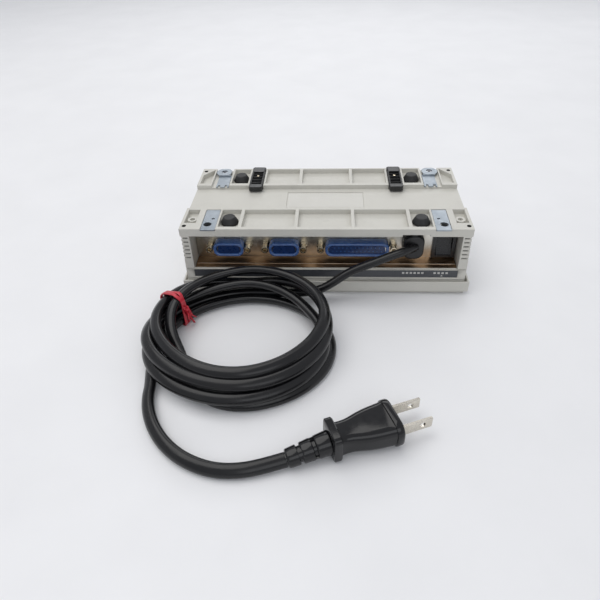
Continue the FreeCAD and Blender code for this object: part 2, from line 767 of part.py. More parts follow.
def make_keys():
    switches = []
    for i in KEYS:
        left, low = key_corner(i)
        cap = block((left, f"{left} + key_wide"), ("front_back - 0.4", f"{PANEL_FACE} + key_stand"),
                    (low, f"{low} + key_high"))
        flange = block((f"{left} - key_flange", f"{left} + key_wide + key_flange"),
                       ("front_back - 1.6", "front_back - 0.3"),
                       (f"{low} - key_flange", f"{low} + key_high + key_flange"))
        node(f"key_{i}", joined([cap, flange]))
        switches.append(block((f"{left} + 2.5", f"{left} + key_wide - 2.5"),
                              ("front_back - 5", "front_back - 2.9"),
                              (f"{low} + 0.8", f"{low} + key_high - 0.8")))
    node("key_switches", group(switches))


def make_display():
    board = block(("-80", "80"), ("front_back - 6.6", "front_back - 5"), ("seam + 1.5", "ceiling - 1"))
    node("display_board", board)
    node("display_module", block(("window_left + 3", "window_right - 3"),
                                 ("front_back - 5", "front_back - 0.4"),
                                 ("window_low + 3", "window_high - 1.5")))


# ---------------------------------------------------------------- inside
def make_inside():
    board = block(("-post_side - 4", "post_side + 4"), ("board_rear", "board_front"),
                  ("board_low", "board_low + board_thick"))
    posts = [(x, y) for x in ("-post_side", "0", "post_side") for y in ("post_rear", "post_front")]
    holes = [rod("1.3", "4", (x, y, "board_low - 1")) for x, y in posts]
    node("main_board", cut(board, holes))
    stands = [cut(rod("2.6", "board_low - lid_floor", (x, y, "lid_floor")),
                  [rod("1.2", "12", (x, y, "board_low - 10"))])
              for x, y in posts]
    node("standoffs", group(stands))
    top = "board_low + board_thick"
    heads = [cut(rod("2.4", "1.6", (x, y, top)), [prism(4, "0.9", "2", (x, y, f"{top} + 0.8"))])
             for x, y in posts]
    node("board_screws", group(heads))
    iron = block(("44", "70"), ("-10", "18"), (top, "ceiling - 1"))
    slots = [block(row, ("-4", "12"), (f"{top} - 1", "rail_top")) for row in (("49", "54"), ("60", "65"))]
    node("transformer_core", cut(iron, slots))
    coil = block(("49.2", "64.8"), ("-3.8", "11.8"), (f"{top} + 0.6", "ceiling - 1.6"))
    middle = block(("53.8", "60.2"), ("-4", "12"), (top, "rail_top"))
    node("transformer_winding", cut(coil, [middle]))
    holder = block(("20", "40"), ("-14", "-8"), (top, f"{top} + 4"))
    groove = rod("2.6", "21", ("19.5", "-11", f"{top} + 4.4"), "x")
    node("fuse_holder", cut(holder, [groove]))
    node("fuse", rod("2.5", "19", ("20.5", "-11", f"{top} + 4.4"), "x"))
    node("capacitors", group([rod("5", "13", (f"{x}", "14", top)) for x in (4, 18, 32)]))


# ---------------------------------------------------------------- mains lead
LEAD_IN = [(57, -38.5, 33), (50.5, -44.5, 34), (41, -46.5, 31.5), (32, -48, 28), (22.5, -49, 24.5),
           (13.5, -50, 20), (5.5, -52, 14.5), (-2, -53, 10), (-12, -53, 7)]
LEAD_OUT = [(-93.5, -138, 3.4), (-91, -147.5, 3.4), (-85.5, -158.5, 3.4), (-77, -169, 3.4),
            (-65.5, -177.5, 3.4), (-52, -182.5, 3.4), (-39.5, -183, 3.5), (-27.5, -180.5, 4),
            (-16, -176.5, 4.6)]
ARC_SHARE = 0.45


def lead_path(points):
    """Straight runs joined by tangent arcs, and the radius of each arc."""
    spots = [V(*p) for p in points]
    edges, radii, start = [], [], spots[0]
    for before, corner, after in zip(spots, spots[1:], spots[2:]):
        arrive, leave = corner - before, after - corner
        turn = arrive.getAngle(leave)
        reach = ARC_SHARE * min(arrive.Length, leave.Length)
        radii.append(reach / math.tan(turn / 2))
        one, two = V(arrive).normalize(), V(leave).normalize()
        first, last = corner - one * reach, corner + two * reach
        bisector = (two - one).normalize()
        centre = corner + bisector * (radii[-1] / math.cos(turn / 2))
        middle = centre - bisector * radii[-1]
        edges += [Part.LineSegment(start, first).toShape(), Part.Arc(first, middle, last).toShape()]
        start = last
    edges.append(Part.LineSegment(start, spots[-1]).toShape())
    return Part.Wire(edges), radii


def lead_tube(points):
    path, radii = lead_path(points)
    radius = size("cord_radius")
    away = V(*points[1]) - V(*points[0])
    ring = Part.Wire(Part.makeCircle(radius, V(*points[0]), away))
    tube = path.makePipeShell([ring], True, False)
    ideal = math.pi * radius ** 2 * path.Length
    print("lead", round(path.Length, 1), "mm, radii", [round(r, 1) for r in radii],
          "volume ratio", round(tube.Volume / ideal, 4))
    return tube


def make_mains_lead():
    tubes = doc.addObject("Part::Feature", "lead_tubes")
    tubes.Shape = Part.makeCompound([lead_tube(LEAD_IN), lead_tube(LEAD_OUT)])
    mouth = f"{PANEL} - bush_stand"
    inside = block(("bush_at - bush_wide", "bush_at + bush_wide"), (f"{mouth} - 0.05", PANEL),
                   ("recess_floor", "rail_top"))
    node("mains_lead", cut(tubes, [inside]))


def make_lead_coil():
    body = doc.addObject("PartDesign::Body", "coil_body")
    sketch = body.newObject("Sketcher::SketchObject", "coil_outline")
    sketch.AttachmentSupport = [(plane_of(body, "XY"), "")]
    sketch.MapMode = "FlatFace"
    for across, along in (("coil_across", "coil_along"), ("hole_across", "hole_along")):
        sketch.addGeometry(Part.Ellipse(V(), size(across), size(along)), False)
    pad = body.newObject("PartDesign::Pad", "coil_pad")
    pad.Profile = sketch
    bind(pad, Length="coil_high")
    body.Tip = pad
    place(body, "coil_x", "coil_y", "0")
    node("lead_coil", body)


def turned(obj, angle, x, y, z):
    """Turn a finished piece about +Z by a formula in degrees, then move it."""
    obj.Placement = FreeCAD.Placement(V(), FreeCAD.Rotation(V(0, 0, 1), 1))
    obj.setExpression("Placement.Rotation.Angle", formula(angle))
    return place(obj, x, y, z)


def make_lead_tie():
    band = cut(block(("-11.9", "11.9"), ("-1.4", "1.4"), ("1", "coil_high + 1.5")),
               [block(("-10.9", "10.9"), ("-2", "2"), ("0", "coil_high + 0.3"))])
    knot = block(("11.9", "14.6"), ("-2.4", "2.4"), ("9", "15"))
    node("lead_tie", turned(joined([band, knot]), "151 - 180", "coil_x - 41.6", "coil_y + 23.1", "0"))


def make_plug():
    """The plug lies along +X of its own frame, its flange at the frame's origin."""
    at = ("plug_turn", "plug_x", "plug_y", "plug_axis")
    outline = [("-29", "-6.6"), ("-22", "-7.2"), ("-14", "-9.6"), ("-2", "-10.6"),
               ("-2", "10.6"), ("-14", "9.6"), ("-22", "7.2"), ("-29", "6.6")]
    grip = padded("XY", outline, "13.4")
    flange = block(("-2.2", "1.8"), ("-11.9", "11.9"), ("-8", "8"))
    collar = block(("-33", "-29"), ("-8.2", "8.2"), ("-8", "9.4"))
    blades, seats = [], []
    for side in (-1, 1):
        across = (f"{side} * 6.35 - 0.75", f"{side} * 6.35 + 0.75")
        blade = block(("-6", "18.9"), across, ("-3.15", "3.15"))
        hole = rod("1.6", "4", ("13.6", f"{side} * 6.35 - 2", "0"), "y")
        blades.append(cut(blade, [hole]))
        seats.append(block(("-6", "3"), across, ("-3.15", "3.15")))
    node("plug_body", turned(cut(joined([grip, flange, collar]), seats), *at))
    node("plug_blades", turned(group(blades), *at))
    tilt = 6.6
    cone = doc.addObject("Part::Cone", fresh("cone"))
    cone.Placement = FreeCAD.Placement(V(), FreeCAD.Rotation(V(0, 1, 0), 90 - tilt))
    bind(cone, Radius1="4.8", Radius2="6.2", Height="21.6")
    place(cone, "-54.5", "0", "-3.1")
    stop = block(("-60", "-33"), ("-9", "9"), ("-8", "9"))
    node("plug_relief", turned(common(cone, stop), *at))


# ---------------------------------------------------------------- build, check and write
def main():
    make_top_cover()
    make_top_label()
    make_upper_case()
    make_label_strip()
    make_lower_case()
    make_case_screws()
    make_underside_label()
    make_plates()
    make_plate_screws()
    make_feet()
    make_tilt_legs()
    make_rear_panel()
    make_connectors()
    make_dust_caps()
    make_jackscrews()
    make_cord_bushing()
    make_switch()
    make_front_panel()
    make_keys()
    make_display()
    make_inside()
    make_mains_lead()
    make_lead_coil()
    make_lead_tie()
    make_plug()
    doc.recompute()
    failed = [o.Label for o in doc.Objects if {"Invalid", "Error"} & set(o.State)]
    if failed:
        raise SystemExit(f"failed objects: {failed}")
    for label, obj in NODES.items():
        shape = obj.Shape
        if shape.isNull() or not shape.isValid() or not shape.Solids:
            raise SystemExit(f"{label}: no valid solid")
        print(f"{label:22s} solids {len(shape.Solids):2d} volume {shape.Volume:9.1f}")
    for label, obj in NODES.items():
        obj.Shape.exportStep(f"parts/{label}.step")
    print(len(NODES), "nodes")


main()
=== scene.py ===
"""Looks of a small desktop instrument that lies upside down on its top cover, its mains lead coiled
behind it.  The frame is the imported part's: metres, +Z up out of the underside, -Y towards the rear
panel.  Sizes below are in millimetres where a name or comment says so, and MM turns them to metres.
"""

import math

import bmesh
import bpy
from mathutils import Matrix, Vector


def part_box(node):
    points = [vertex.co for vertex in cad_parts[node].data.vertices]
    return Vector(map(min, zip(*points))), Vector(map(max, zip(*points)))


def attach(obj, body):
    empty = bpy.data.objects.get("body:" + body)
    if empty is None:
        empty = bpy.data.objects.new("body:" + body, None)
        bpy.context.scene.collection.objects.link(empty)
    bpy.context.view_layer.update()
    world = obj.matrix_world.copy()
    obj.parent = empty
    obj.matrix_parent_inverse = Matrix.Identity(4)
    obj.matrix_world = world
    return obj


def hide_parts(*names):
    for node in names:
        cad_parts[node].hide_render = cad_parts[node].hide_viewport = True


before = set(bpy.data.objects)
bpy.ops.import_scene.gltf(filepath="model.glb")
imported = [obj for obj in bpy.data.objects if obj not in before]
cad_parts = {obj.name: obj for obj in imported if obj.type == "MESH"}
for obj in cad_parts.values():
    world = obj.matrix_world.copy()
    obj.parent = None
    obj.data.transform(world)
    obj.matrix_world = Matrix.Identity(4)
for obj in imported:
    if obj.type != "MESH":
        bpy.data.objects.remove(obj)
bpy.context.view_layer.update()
MM = 0.001
CASE = "case"


# ---------------------------------------------------------------- camera, floor and light
CAMERA_AT = (4.10, -321.98, 221.07)      # mm
CAMERA_YAW = -0.07386
CAMERA_PITCH = 0.68453                   # below the horizon
CAMERA_ROLL = -0.03822
CAMERA_LENS = 31.788                     # mm
CAMERA_SENSOR = 36                       # mm wide


def make_camera():
    forward = Vector((
        math.sin(CAMERA_YAW) * math.cos(CAMERA_PITCH),
        math.cos(CAMERA_YAW) * math.cos(CAMERA_PITCH),
        -math.sin(CAMERA_PITCH),
    ))
    level = Vector((math.cos(CAMERA_YAW), -math.sin(CAMERA_YAW), 0))
    rise = level.cross(forward)
    right = math.cos(CAMERA_ROLL) * level + math.sin(CAMERA_ROLL) * rise
    up = -math.sin(CAMERA_ROLL) * level + math.cos(CAMERA_ROLL) * rise
    camera = bpy.data.objects.new("camera", bpy.data.cameras.new("camera"))
    camera.data.sensor_width = CAMERA_SENSOR
    camera.data.lens = CAMERA_LENS
    camera.data.clip_start, camera.data.clip_end = 0.01, 50
    turn = Matrix((right, up, -forward)).transposed().to_4x4()
    camera.matrix_world = Matrix.Translation(Vector(CAMERA_AT) * MM) @ turn
    bpy.context.scene.collection.objects.link(camera)
    bpy.context.scene.camera = camera


def area_light(name, at, aim, size, power, colour=(1, 1, 1)):
    lamp = bpy.data.lights.new(name, "AREA")
    lamp.shape = "RECTANGLE"
    lamp.size, lamp.size_y = size
    lamp.energy = power
    lamp.color = colour
    light = bpy.data.objects.new(name, lamp)
    light.location = at
    light.rotation_mode = "QUATERNION"
    light.rotation_quaternion = (Vector(aim) - Vector(at)).to_track_quat("-Z", "Y")
    bpy.context.scene.collection.objects.link(light)


def make_light():
    world = bpy.data.worlds.new("studio")
    world.use_nodes = True
    sky = world.node_tree.nodes["Background"]
    sky.inputs["Color"].default_value = (0.93, 0.95, 1.0, 1)
    sky.inputs["Strength"].default_value = 0.56
    bpy.context.scene.world = world
    area_light("key", (-0.45, 0.10, 1.30), (0, -0.05, 0), (1.5, 1.2), 9.4, (1.0, 0.985, 0.96))
    area_light("front", (0.35, -1.05, 0.75), (0, -0.05, 0.02), (0.9, 0.6), 1.8, (0.96, 0.98, 1.0))
    area_light("back", (0.2, 0.9, 0.55), (0, 0, 0.03), (1.1, 0.3), 1.8)


# ---------------------------------------------------------------- shader building
def shader(name):
    mat = bpy.data.materials.new(name)
    mat.use_nodes = True
    return mat, mat.node_tree, mat.node_tree.nodes["Principled BSDF"]


def add(tree, kind, links=(), **values):
    """A node with some sockets set and some linked; a socket's name has _ for a space."""
    node = tree.nodes.new("ShaderNode" + kind)
    for key, value in values.items():
        node.inputs[key.replace("_", " ")].default_value = value
    for socket, source in dict(links).items():
        tree.links.new(source, node.inputs[socket])
    return node


def place_of(tree, stretch=(1, 1, 1)):
    """Object coordinates in metres, stretched along the axes."""
    coords = tree.nodes.new("ShaderNodeTexCoord")
    mapping = add(tree, "Mapping", {"Vector": coords.outputs["Object"]})
    mapping.inputs["Scale"].default_value = stretch
    return mapping.outputs["Vector"]


def noise(tree, size, detail=3.0, stretch=(1, 1, 1), roughness=0.5):
    """Noise whose features are about size millimetres across."""
    return add(tree, "TexNoise", {"Vector": place_of(tree, stretch)},
               Scale=1000.0 / size, Detail=detail, Roughness=roughness).outputs["Fac"]


def spread(tree, value, low, high, start=0.3, end=0.7):
    return add(tree, "MapRange", {"Value": value}, From_Min=start, From_Max=end,
               To_Min=low, To_Max=high).outputs["Result"]


def blend(tree, factor, first, second):
    """Mix two colours; each is a tuple or a socket."""
    mix = tree.nodes.new("ShaderNodeMix")
    mix.data_type = "RGBA"
    for socket, value in ((mix.inputs[0], factor), (mix.inputs[6], first), (mix.inputs[7], second)):
        if isinstance(value, tuple):
            socket.default_value = (*value, 1)
        elif isinstance(value, float):
            socket.default_value = value
        else:
            tree.links.new(value, socket)
    return mix.outputs[2]


def bumped(tree, height, depth, under=None):
    """A bump of some depth in millimetres, over another bump if one is given."""
    links = {"Height": height}
    if under is not None:
        links["Normal"] = under
    return add(tree, "Bump", links, Strength=1.0, Distance=depth * MM).outputs["Normal"]


MARK_SIZE, GLOSS_SIZE = 0.35, 0.4        # of marks and of uneven gloss, as shares of the mottle's size
MARK_TONE = 0.35                         # a mark's colour, as a share of the surface's own
COAT_ROUGHNESS = 0.12


def surface(name, colour, shade, rough, metal=0.0, mottle=14.0, grain=0.5, depth=0.02,
            rough_spread=0.06, coat=0.0, streak=None, specular=0.5, smudge=0.0):
    """A material with a mottled colour, an uneven gloss and a fine grain; sizes and depths are in mm."""
    mat, tree, bsdf = shader(name)
    tone = spread(tree, noise(tree, mottle, 4.0), 0.0, 1.0)
    base = blend(tree, tone, colour, shade)
    if smudge:
        marks = spread(tree, noise(tree, mottle * MARK_SIZE, 6.0, roughness=0.7), 0.0, smudge, 0.55, 0.8)
        base = blend(tree, marks, base, tuple(MARK_TONE * c for c in colour))
    tree.links.new(base, bsdf.inputs["Base Color"])
    bsdf.inputs["Metallic"].default_value = metal
    bsdf.inputs["Specular IOR Level"].default_value = specular
    bsdf.inputs["Coat Weight"].default_value = coat
    bsdf.inputs["Coat Roughness"].default_value = COAT_ROUGHNESS
    uneven = spread(tree, noise(tree, mottle * GLOSS_SIZE, 5.0, roughness=0.6),
                    rough - rough_spread, rough + rough_spread)
    tree.links.new(uneven, bsdf.inputs["Roughness"])
    normal = bumped(tree, noise(tree, grain, 2.0), depth)
    if streak:
        size, stretch, deep = streak
        normal = bumped(tree, noise(tree, size, 2.0, stretch), deep, under=normal)
    tree.links.new(normal, bsdf.inputs["Normal"])
    return mat


def painted_case(name, colour, shade):
    """Moulded styrene: an even fine spark texture with faint flow marks and handling marks."""
    return surface(name, colour, shade, 0.46, mottle=30.0, grain=0.42, depth=0.022, smudge=0.10)


def plated_sheet(name, colour, shade, rough):
    """Rolled plated sheet: clouded colour with fine lines from rolling."""
    return surface(name, colour, shade, rough, metal=1.0, mottle=9.0, grain=0.8, depth=0.006,
                   rough_spread=0.08, streak=(3.0, (1, 40, 40), 0.006), smudge=0.12)


def sheath():
    """Satin black sheath with a fine uneven grain."""
    return surface("cord_sheath", (0.005, 0.005, 0.006), (0.009, 0.009, 0.010), 0.23, mottle=18.0,
                   grain=1.2, depth=0.012, specular=0.42)


def make_materials():
    return {
        "case": painted_case("case_plastic", (0.590, 0.578, 0.530), (0.560, 0.548, 0.500)),
        "cover_panel": surface("cover_panel", (0.40, 0.395, 0.37), (0.37, 0.365, 0.345), 0.5, grain=0.3),
        "strip": surface("strip_film", (0.062, 0.066, 0.074), (0.050, 0.053, 0.060), 0.34, mottle=22.0,
                         grain=0.25, depth=0.008),
        "print": surface("strip_print", (0.52, 0.52, 0.50), (0.44, 0.44, 0.42), 0.5, grain=0.2, depth=0.006),
        "label": surface("foil_label", (0.60, 0.588, 0.545), (0.575, 0.563, 0.52), 0.42, grain=0.3,
                         depth=0.008),
        "zinc": plated_sheet("zinc_plate", (0.42, 0.46, 0.50), (0.31, 0.35, 0.39), 0.44),
        "panel": plated_sheet("plated_panel", (0.74, 0.72, 0.66), (0.54, 0.52, 0.46), 0.34),
        "bronze": plated_sheet("bronze_floor", (0.42, 0.27, 0.155), (0.32, 0.20, 0.12), 0.36),
        "screw": plated_sheet("screw_steel", (0.52, 0.52, 0.54), (0.36, 0.36, 0.38), 0.30),
        "foot": surface("foot_rubber", (0.013, 0.013, 0.014), (0.020, 0.020, 0.021), 0.52, mottle=4.0,
                        grain=0.35, depth=0.03, specular=0.45),
        "leg": surface("leg_plastic", (0.008, 0.008, 0.009), (0.014, 0.014, 0.015), 0.33, mottle=6.0,
                       grain=0.4, depth=0.012),
        "shell": plated_sheet("shell_metal", (0.66, 0.65, 0.60), (0.46, 0.45, 0.42), 0.24),
        "insert": surface("insert_plastic", (0.02, 0.02, 0.024), (0.03, 0.03, 0.034), 0.45, grain=0.3),
        "gold": plated_sheet("pin_metal", (0.84, 0.64, 0.28), (0.66, 0.48, 0.20), 0.22),
        "cap": cap_plastic(),
        # darker blue of the caps' sunken faces: partly the dark connector seen through the plastic, partly
        # painted shade in the recess
        "cap_deep": surface("cap_recess", (0.012, 0.036, 0.130), (0.009, 0.026, 0.095), 0.30, mottle=5.0,
                            grain=0.4, depth=0.01),
        "jack": plated_sheet("jack_metal", (0.70, 0.62, 0.48), (0.50, 0.42, 0.30), 0.24),
        "bush": surface("bush_plastic", (0.006, 0.006, 0.007), (0.011, 0.011, 0.012), 0.34, mottle=5.0),
        "switch": surface("switch_plastic", (0.016, 0.016, 0.017), (0.022, 0.022, 0.024), 0.32, mottle=6.0,
                          grain=0.4, depth=0.012),
        "rocker": surface("rocker_plastic", (0.009, 0.009, 0.010), (0.014, 0.014, 0.016), 0.26, mottle=6.0,
                          grain=0.4, depth=0.010),
        "front": painted_case("front_plastic", (0.20, 0.197, 0.188), (0.18, 0.177, 0.168)),
        "window": surface("window_plastic", (0.012, 0.024, 0.018), (0.018, 0.032, 0.024), 0.10, mottle=12.0,
                          grain=1.5, depth=0.004, rough_spread=0.04, coat=0.5),
        "key": painted_case("key_plastic", (0.42, 0.41, 0.38), (0.39, 0.38, 0.355)),
        # also the painted shade on the case's deep bores and louvre backs
        "dark": surface("inner_plastic_and_painted_shade", (0.04, 0.04, 0.04), (0.06, 0.06, 0.06), 0.5),
        "board": surface("board_mask", (0.02, 0.13, 0.06), (0.03, 0.17, 0.08), 0.3, mottle=3.0),
        "glass": surface("display_glass", (0.30, 0.36, 0.30), (0.24, 0.30, 0.25), 0.12, mottle=5.0),
        "iron": surface("iron_core", (0.10, 0.095, 0.09), (0.14, 0.12, 0.10), 0.55, metal=0.7,
                        streak=(0.5, (1, 1, 12), 0.05)),
        "copper": surface("winding_copper", (0.50, 0.20, 0.08), (0.36, 0.14, 0.06), 0.3, metal=1.0,
                          streak=(0.4, (1, 1, 10), 0.08)),
        "sheath": sheath(),
        "tie": surface("tie_plastic", (0.62, 0.028, 0.050), (0.44, 0.015, 0.030), 0.33, mottle=2.0,
                       depth=0.03, coat=0.25),
        "plug": surface("plug_plastic", (0.004, 0.004, 0.005), (0.007, 0.007, 0.008), 0.13, mottle=9.0,
                        grain=0.7, depth=0.010, specular=0.45),
        "blade": plated_sheet("blade_metal", (0.80, 0.76, 0.68), (0.62, 0.58, 0.50), 0.27),
        "floor": surface("floor", (0.84, 0.842, 0.855), (0.81, 0.812, 0.825), 0.55, mottle=60.0, grain=1.5,
                         depth=0.01, smudge=0.02),
    }


def cap_plastic():
    """Translucent blue polythene with a soft milky glow."""
    mat = surface("cap_plastic", (0.050, 0.115, 0.310), (0.075, 0.160, 0.390), 0.18, mottle=4.0, grain=0.6,
                  depth=0.012, coat=0.6)
    bsdf = mat.node_tree.nodes["Principled BSDF"]
    bsdf.inputs["Subsurface Weight"].default_value = 0.25
    bsdf.inputs["Subsurface Radius"].default_value = (0.0010, 0.0020, 0.0040)
    bsdf.inputs["Subsurface Scale"].default_value = 1.0
    return mat


MATERIALS = make_materials()


# ---------------------------------------------------------------- mesh building
def finish_piece(name, mesh, materials, body, replaces, soft_angle):
    mesh.materials.clear()
    for word in materials:
        mesh.materials.append(MATERIALS[word])
    mesh.polygons.foreach_set("use_smooth", [True] * len(mesh.polygons))
    mesh.set_sharp_from_angle(angle=math.radians(soft_angle))
    piece = bpy.data.objects.new(name, mesh)
    bpy.context.scene.collection.objects.link(piece)
    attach(piece, body)
    if replaces:
        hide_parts(*replaces)
    return piece


def built(name, solids, material, body=CASE, replaces=(), soft_angle=35, turn=None):
    """A piece from a list of (vertices in mm, faces), placed by a matrix if one is given."""
    verts, faces = [], []
    for solid_verts, solid_faces in solids:
        start = len(verts)
        verts += [Vector(v) * MM for v in solid_verts]
        faces += [tuple(start + i for i in face) for face in solid_faces]
    mesh = bpy.data.meshes.new(name)
    mesh.from_pydata(verts, [], faces)
    bm = bmesh.new()
    bm.from_mesh(mesh)
    bmesh.ops.recalc_face_normals(bm, faces=bm.faces)
    bm.to_mesh(mesh)
    bm.free()
    if turn is not None:
        mesh.transform(turn)
    return finish_piece(name, mesh, [material], body, replaces, soft_angle)


def loft(rings, ring_closed=False):
    """A skin over rings with equal counts; ring_closed joins the last ring to the first."""
    count = len(rings[0])
    verts = [p for ring in rings for p in ring]
    faces = []
    last = len(rings) if ring_closed else len(rings) - 1
    for i in range(last):
        j = (i + 1) % len(rings)
        for k in range(count):
            n = (k + 1) % count
            faces.append((i * count + k, i * count + n, j * count + n, j * count + k))
    if not ring_closed:
        faces.append(tuple(range(count))[::-1])
        faces.append(tuple((len(rings) - 1) * count + k for k in range(count)))
    return verts, faces


def rounded(wide, high, radius, steps=5):
    """The outline of a rounded rectangle about the origin, as pairs."""
    points = []
    for across, up, start in ((1, 1, 0), (-1, 1, 90), (-1, -1, 180), (1, -1, 270)):
        for i in range(steps + 1):
            angle = math.radians(start + 90 * i / steps)
            points.append((
                across * (wide / 2 - radius) + radius * math.cos(angle),
                up * (high / 2 - radius) + radius * math.sin(angle),
            ))
    return points


SOFT_ANGLE = 35                          # degrees, above which an edge is shaded sharp
WELD = 2e-6                              # m between corners that are one
FLAT_ANGLE = 0.5                         # degrees between faces that are one
EASED_ANGLE = 32                         # degrees, above which an edge is eased


def crisp(node, material, width=0.3, segments=2, body=CASE, more=(), choose=None):
    """A copy of a CAD node with its edges eased by some mm.

    choose gives a face's material by its centre, in mm, and its normal.
    """
    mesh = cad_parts[node].data.copy()
    bm = bmesh.new()
    bm.from_mesh(mesh)
    bmesh.ops.remove_doubles(bm, verts=bm.verts, dist=WELD)
    bmesh.ops.dissolve_limit(bm, angle_limit=math.radians(FLAT_ANGLE), verts=bm.verts, edges=bm.edges)
    bm.to_mesh(mesh)
    bm.free()
    piece = finish_piece(node + "_finish", mesh, [material, *more], body, [node], SOFT_ANGLE)
    if choose:
        for face in mesh.polygons:
            face.material_index = choose(face.center / MM, face.normal)
    if width:
        edge = piece.modifiers.new("eased", "BEVEL")
        edge.width = width * MM
        edge.segments = segments
        edge.limit_method = "ANGLE"
        edge.angle_limit = math.radians(EASED_ANGLE)
        edge.harden_normals = True
        edge.use_clamp_overlap = True
    return piece


# ---------------------------------------------------------------- mains lead
LEAD_IN = [(57, -38.5, 33), (50.5, -44.5, 34), (41, -46.5, 31.5), (32, -48, 28), (22.5, -49, 24.5),
           (13.5, -50, 20), (5.5, -52, 14.5), (-2, -53, 10), (-12, -53, 7)]
LEAD_OUT = [(-93.5, -138, 3.4), (-91, -147.5, 3.4), (-85.5, -158.5, 3.4), (-77, -169, 3.4),
            (-65.5, -177.5, 3.4), (-52, -182.5, 3.4), (-39.5, -183, 3.5), (-27.5, -180.5, 4),
            (-16, -176.5, 4.6)]
COIL_MIDDLE = (-51.4, -96.0)             # mm
COIL_HALF = (56.0, 47.6)                 # mm, of the ellipse that the turns are measured from
TURN_POINTS = 18
# Where the cord is as it goes round: degrees from +X, mm inside the ellipse (less than 0 is outside),
# mm above the floor.
WINDING = [
    (70, 0, 5), (95, 0, 3.5), (130, 2, 3.3), (170, 4, 4.5), (190, 3.5, 8), (235, 1, 9), (290, -2, 9),
    (350, 1.5, 9), (385, 6, 10), (415, 3.5, 12), (440, 4.5, 15.5), (475, 6.5, 14), (510, 3, 9.5),
    (550, 4, 15), (585, 6, 15), (650, 2, 15), (695, 2, 15), (725, 1, 15.5), (765, -3, 16.5),
    (790, -3.5, 13), (810, -2, 10), (845, -3.5, 14), (870, 1, 16.5), (925, 13, 17.5), (1000, 7, 19),
    (1055, 6.5, 19.5), (1095, 1, 21.5), (1155, -2, 22), (1190, 1, 20), (1230, 9, 19), (1265, 18.5, 12),
    (1285, 21, 5), (1310, 14.5, 3.3), (1345, 1, 3.3), (1370, -1.5, 3.3), (1425, -2, 3.3),
    (1470, 2, 3.3), (1540, 7, 3.3), (1580, 10.5, 3.3), (1615, 10, 3.3), (1640, 5, 3.3),
    (1660, -3.5, 3.3),
]
CORD_WIDE = 7.4                          # mm
CORD_THICK = 5.7
CORD_SIDES = 20
CORD_LEAN = math.radians(35)             # its flat face turns outwards and up


def slope(index, value):
    """How fast a value changes with the angle at a station, from its two neighbours."""
    before = WINDING[max(index - 1, 0)]
    after = WINDING[min(index + 1, len(WINDING) - 1)]
    return (after[value] - before[value]) / (after[0] - before[0])


def winding_at(angle):
    """Inset and height at an angle, on smooth curves through the stations."""
    index = 0
    while index < len(WINDING) - 2 and angle > WINDING[index + 1][0]:
        index += 1
    here, after = WINDING[index], WINDING[index + 1]
    span = after[0] - here[0]
    t = (angle - here[0]) / span
    ease = t * t * (3 - 2 * t)
    return [here[value] + ease * (after[value] - here[value])
            + span * t * (1 - t) * ((1 - t) * slope(index, value) - t * slope(index + 1, value))
            for value in (1, 2)]


def coil_point(angle):
    inset, height = winding_at(angle)
    turn = math.radians(angle)
    across, along = math.cos(turn), math.sin(turn)
    reach = 1 / math.hypot(across / COIL_HALF[0], along / COIL_HALF[1]) - inset
    return COIL_MIDDLE[0] + reach * across, COIL_MIDDLE[1] + reach * along, height


def coil_points():
    first, last = WINDING[0][0], WINDING[-1][0]
    count = round((last - first) / 360 * TURN_POINTS)
    return [coil_point(first + (last - first) * i / count) for i in range(count + 1)]


def smooth_line(name, points, resolution=6):
    """Points of a NURBS line that has the given points, in mm, as its control points."""
    curve = bpy.data.curves.new(name, "CURVE")
    curve.dimensions = "3D"
    spline = curve.splines.new("NURBS")
    spline.points.add(len(points) - 1)
    for control, point in zip(spline.points, points):
        control.co = (*(Vector(point) * MM), 1)
    spline.order_u = 3
    spline.use_endpoint_u = True
    spline.resolution_u = resolution
    holder = bpy.data.objects.new(name, curve)
    bpy.context.scene.collection.objects.link(holder)
    mesh = bpy.data.meshes.new_from_object(holder)
    line = [v.co.copy() / MM for v in mesh.vertices]
    bpy.data.objects.remove(holder)
    bpy.data.meshes.remove(mesh)
    return line


def directions(line):
    count = len(line)
    return [(line[min(i + 1, count - 1)] - line[max(i - 1, 0)]).normalized() for i in range(count)]


def swept(line, outline, upright=Vector((0, 0, 1))):
    """An outline of pairs (across, up) carried along a line, its up kept as near upright as it can be."""
    rings = []
    for point, ahead in zip(line, directions(line)):
        across = ahead.cross(upright).normalized()
        up = across.cross(ahead)
        rings.append([point + a * across + b * up for a, b in outline])
    return loft(rings)


CORD_GROOVE = 0.05                       # of the cord's thickness, along the middle of its flat faces
GROOVE_SPREAD = 0.22                     # of half the cord's width


def oval(wide, high, sides, groove, lean):
    """A flat cord's outline, with a shallow groove along the middle of its two faces."""
    points = []
    for i in range(sides):
        angle = math.tau * i / sides
        dip = 1 - groove * math.exp(-(math.cos(angle) / GROOVE_SPREAD) ** 2)
        across, up = wide / 2 * math.cos(angle), high / 2 * math.sin(angle) * dip
        points.append((across * math.cos(lean) - up * math.sin(lean),
                       across * math.sin(lean) + up * math.cos(lean)))
    return points


def make_lead():
    route = LEAD_IN + coil_points() + LEAD_OUT
    line = smooth_line("lead_line", route)
    outline = oval(CORD_WIDE, CORD_THICK, CORD_SIDES, CORD_GROOVE, -CORD_LEAN)
    lead = built("mains_lead_finish", [swept(line, outline)], "sheath",
                 replaces=["mains_lead", "lead_coil"], soft_angle=60)
    length = sum((b - a).length for a, b in zip(line, line[1:])) * MM
    return lead, line, length


